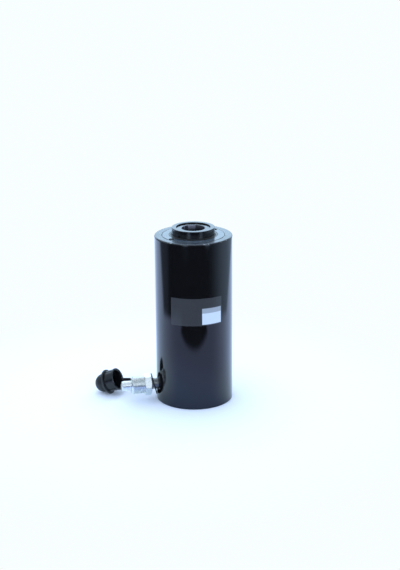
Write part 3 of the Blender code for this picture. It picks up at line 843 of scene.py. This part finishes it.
# Coupler: the fixed half of a screwed hose coupler, turned from hexagon bar and bright zinc plated. It
# has a socket for the nipple, a hexagon, the thread for the hose's collar and the probe.
zinc, feed, place = finish("bright_zinc", Metallic=1.0)
milky = place.noise(260, 3).rise(0.3, 0.75)
turning = place.part(0).lines(2400, 2)
feed(
    Base_Color=milky.tint((0.79, 0.80, 0.79), (0.87, 0.87, 0.86)),
    Roughness=milky * 0.05 + 0.24,
    Normal=turning.bump(0.000008),
)
hex_flats = 0.0284
hex_r = hex_flats / 2 / cos(pi / 6)
coupler_bore_r = 0.0052
hexagon = turned(
    [
        (hex_r - 0.0026, 0.0775),
        (hex_r + 0.0001, 0.0760),
        (hex_r + 0.0001, 0.0685),
        (hex_r - 0.0026, 0.0670),
        (socket_r, 0.0670, 0.0006),
        (socket_r, 0.0768),
        (coupler_bore_r, 0.0768),
        (coupler_bore_r, 0.0775),
    ],
    steps=120,
)
outside = bmesh.new()
for r in (hex_r, 2 * hex_r):
    bmesh.ops.create_circle(outside, segments=6, radius=r)
bmesh.ops.bridge_loops(outside, edges=outside.edges[:])
grown = bmesh.ops.extrude_face_region(outside, geom=outside.faces[:])["geom"]
lifted = [v for v in grown if isinstance(v, bmesh.types.BMVert)]
bmesh.ops.translate(outside, verts=lifted, vec=(0, 0, 0.013))
bmesh.ops.translate(outside, verts=outside.verts, vec=(0, 0, 0.066))
bmesh.ops.recalc_face_normals(outside, faces=outside.faces)
hexagon = carved(hexagon, outside)
piece("coupler_hexagon", hexagon, zinc, "barrel", "coupler_body", turn=out_of_port, sharp=25)
screw = threaded(
    crest=0.01355,
    root=0.01265,
    low=0.0774,
    high=0.0970,
    pitch=thread_pitch,
    bore=0.0053,
    lead=0.0023,
    steps=72,
)
piece("coupler_thread", screw, zinc, "barrel", "coupler_body", turn=out_of_port, sharp=35)
probe_r = 0.00725
probe_tip = 0.1115
valve_hole_r = 0.0034
probe = turned(
    [
        (valve_hole_r, probe_tip, 0.0004),
        (probe_r, probe_tip, 0.0024),
        (probe_r, 0.0969),
        (coupler_bore_r, 0.0969),
        (coupler_bore_r, 0.1047),
        (valve_hole_r, 0.1065),
    ],
    steps=72,
    soft=6,
)
piece("coupler_probe", probe, zinc, "barrel", "coupler_body", turn=out_of_port)

# Valve: a ground steel poppet that closes the probe from inside. The hose's half pushes it in against
# its spring, which stands on a ring in the coupler's bore.
ground_steel, feed, place = finish("ground_steel", Metallic=1.0)
haze = place.noise(500, 3)
feed(
    Base_Color=haze.tint((0.46, 0.47, 0.49), (0.58, 0.59, 0.61)),
    Roughness=haze * 0.12 + 0.18,
    Normal=place.noise(3000, 2).bump(0.000003),
)
poppet = turned(
    [
        (0, 0.1110),
        (0.0024, 0.1110, 0.0005),
        (0.0024, 0.1062),
        (0.0038, 0.1041),
        (0.0038, 0.1030),
        (0.0047, 0.1030, 0.0002),
        (0.0047, 0.0999),
        (0, 0.0999),
    ],
    steps=64,
)
piece("valve_poppet", poppet, ground_steel, "poppet", "poppet", turn=out_of_port)
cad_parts["poppet_retainer"].material_slots[0].material = zinc
small_coil = coil(
    wire=0.00045,
    mean=0.0038,
    low=0.0882,
    high=0.0996,
    turns=6,
    per_turn=24,
    sides=8,
)
valve_spring = piece("valve_coil", small_coil, wire, "barrel", "poppet_spring", turn=out_of_port, sharp=60)
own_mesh(valve_spring)

# Tether: one moulding of black rubber. A flat ring turns on the nipple, a strap curls out from it, and
# a round band holds the dust cap in its groove.
ring_lean = radians(14.3)
ring_yaw = radians(-4)
neck = Vector((axis.x - 0.062, axis.y, port_z))
cap_azimuth = radians(-33.1)
cap_tilt = radians(22)
cap_at = Vector((axis.x - 0.1251, axis.y + 0.0411, 0.017574))
to_cap = Matrix.Translation(cap_at) @ Matrix.Rotation(cap_azimuth, 4, "Z")
to_cap = to_cap @ Matrix.Rotation(pi / 2 - cap_tilt, 4, "Y")
rubber, feed, place = finish("tether_rubber", IOR=1.5)
bloom = place.noise(60, 3).rise(0.4, 0.8)
feed(
    Base_Color=bloom.tint((0.010, 0.010, 0.011), (0.018, 0.018, 0.020)),
    Roughness=bloom * 0.1 + 0.4,
    Normal=place.noise(1500, 3).bump(0.00001),
)
ring_in, ring_out, ring_half = 0.0095, 0.016, 0.0009
neck_ring = turned(
    [
        (ring_in, ring_half, 0.0003),
        (ring_out, ring_half, 0.0005),
        (ring_out, -ring_half, 0.0005),
        (ring_in, -ring_half, 0.0003),
    ],
    steps=72,
)
at_neck = Matrix.Translation(neck) @ Matrix.Rotation(ring_yaw, 4, "Z")
at_neck = at_neck @ Matrix.Rotation(-pi / 2 - ring_lean, 4, "Y")
bmesh.ops.transform(neck_ring, matrix=at_neck, verts=neck_ring.verts)
band_in, band_out, band_half = 0.0153, 0.0186, 0.0016
cap_band = turned(
    [
        (band_in, band_half, 0.0004),
        (band_out, band_half, 0.0010),
        (band_out, -band_half, 0.0010),
        (band_in, -band_half, 0.0004),
    ],
    steps=96,
)
bmesh.ops.transform(cap_band, matrix=to_cap, verts=cap_band.verts)
out = to_cap.to_3x3() @ Vector((0, 0, 1))
sideways = Vector((-sin(cap_azimuth), cos(cap_azimuth), 0))
upright = out.cross(sideways)
start = neck + 0.01275 * Vector((-sin(ring_yaw), cos(ring_yaw), 0))
end = cap_at + (band_out - 0.001485) * sideways
curl = 0.011
reach_out = start + Vector((0, curl, 0.0005))
reach_in = end + 0.65 * curl * sideways + 0.75 * curl * out - Vector((0, 0, curl))
strap_half_width = 0.0024
strap_half_thickness = 0.00081
strap = bmesh.new()
bmesh.ops.create_grid(strap, x_segments=1, y_segments=1, size=1)
bmesh.ops.bevel(
    strap,
    geom=strap.verts[:],
    offset=0.5,
    affect="VERTICES",
    segments=3,
    profile=0.5,
    material=-1,
)
section = [v.co.copy() for v in strap.verts]
spans = 40
for i in range(spans + 1):
    t = i / spans
    s = 1 - t
    at = s**3 * start + 3 * s * s * t * reach_out + 3 * s * t * t * reach_in + t**3 * end
    ahead = s * s * (reach_out - start) + 2 * s * t * (reach_in - reach_out) + t * t * (end - reach_in)
    ahead.normalize()
    wide = s * Vector((-sin(ring_lean), 0, cos(ring_lean))) + t * upright
    wide = (wide - wide.dot(ahead) * ahead).normalized()
    thick = ahead.cross(wide)
    if i:
        grown = bmesh.ops.extrude_face_region(strap, geom=[face])["geom"]
        face = [part for part in grown if isinstance(part, bmesh.types.BMFace)][0]
    else:
        strap.faces.ensure_lookup_table()
        face = strap.faces[0]
    for vert, spot in zip(face.verts, section):
        vert.co = at + strap_half_width * spot.x * wide + strap_half_thickness * spot.y * thick
bmesh.ops.recalc_face_normals(strap, faces=strap.faces)
strap = carved(carved(strap, neck_ring, "UNION"), cap_band, "UNION")
piece("rubber_tether", strap, rubber, "tether", "cap_tether")

# Dust cap: moulded in stiff black plastic with five broad ribs to grip. It is turned here with its mouth
# up, panelled between the ribs, and then laid down in the tether's band.
mouth = 0.0176
cup_back = 0.0019
grip_r = 0.0162
dome_r = 0.0139
moulded, feed, place = finish("moulded_plastic", IOR=1.44)
grain = place.noise(1100, 3)
cloud = place.noise(110, 2)
from_cap = place.shifted(cap_at)
along = from_cap.node("VectorMath", {"operation": "DOT_PRODUCT"}, {0: from_cap, 1: out}, 1)
dome = along.rise(-0.0038, -0.0048)
feed(
    Base_Color=cloud.tint((0.0065, 0.0065, 0.0078), (0.0100, 0.0100, 0.0115)),
    Roughness=cloud * 0.08 + 0.13 + dome * 0.30,
    Normal=grain.bump(0.000012),
)
profile = [
    (0, mouth - 0.0348),
    (0.00785, mouth - 0.0348),
    (0.00785, mouth - 0.0200),
    (0.01385, mouth - 0.0200),
    (0.01385, mouth - 0.0013),
    (0.01515, mouth),
    (0.0165, mouth),
    (0.0168, mouth - 0.0003),
    (0.0168, mouth - 0.0018),
    (grip_r, mouth - 0.0022),
    (grip_r, cup_back),
    (0.0149, cup_back),
    (0.0149, -cup_back),
    (0.0158, -cup_back),
    (0.0158, -0.0035),
    (0.0152, -0.0041),
    (dome_r, -0.0041),
]
for step in range(12):
    turn = step * pi / 24
    profile.append((dome_r * cos(turn), -0.0070 - dome_r * sin(turn)))
profile.append((0, -0.0209))
cap = turned(profile, steps=150)
ribs = 5
panel_half = radians(24)
for rib in range(ribs):
    middle = 2 * pi * rib / ribs
    panel = []
    for face in cap.faces:
        at = face.calc_center_median()
        apart = (atan2(at.y, at.x) - middle + pi) % (2 * pi) - pi
        on_grip = hypot(at.x, at.y) > grip_r - 0.0004 and cup_back < at.z < mouth - 0.0022
        if on_grip and abs(apart) < panel_half:
            panel.append(face)
    bmesh.ops.inset_region(cap, faces=panel, thickness=0.0005, depth=-0.0008)
piece("screw_cap", cap, moulded, "dust_cap", "dust_cap", turn=to_cap, sharp=30)
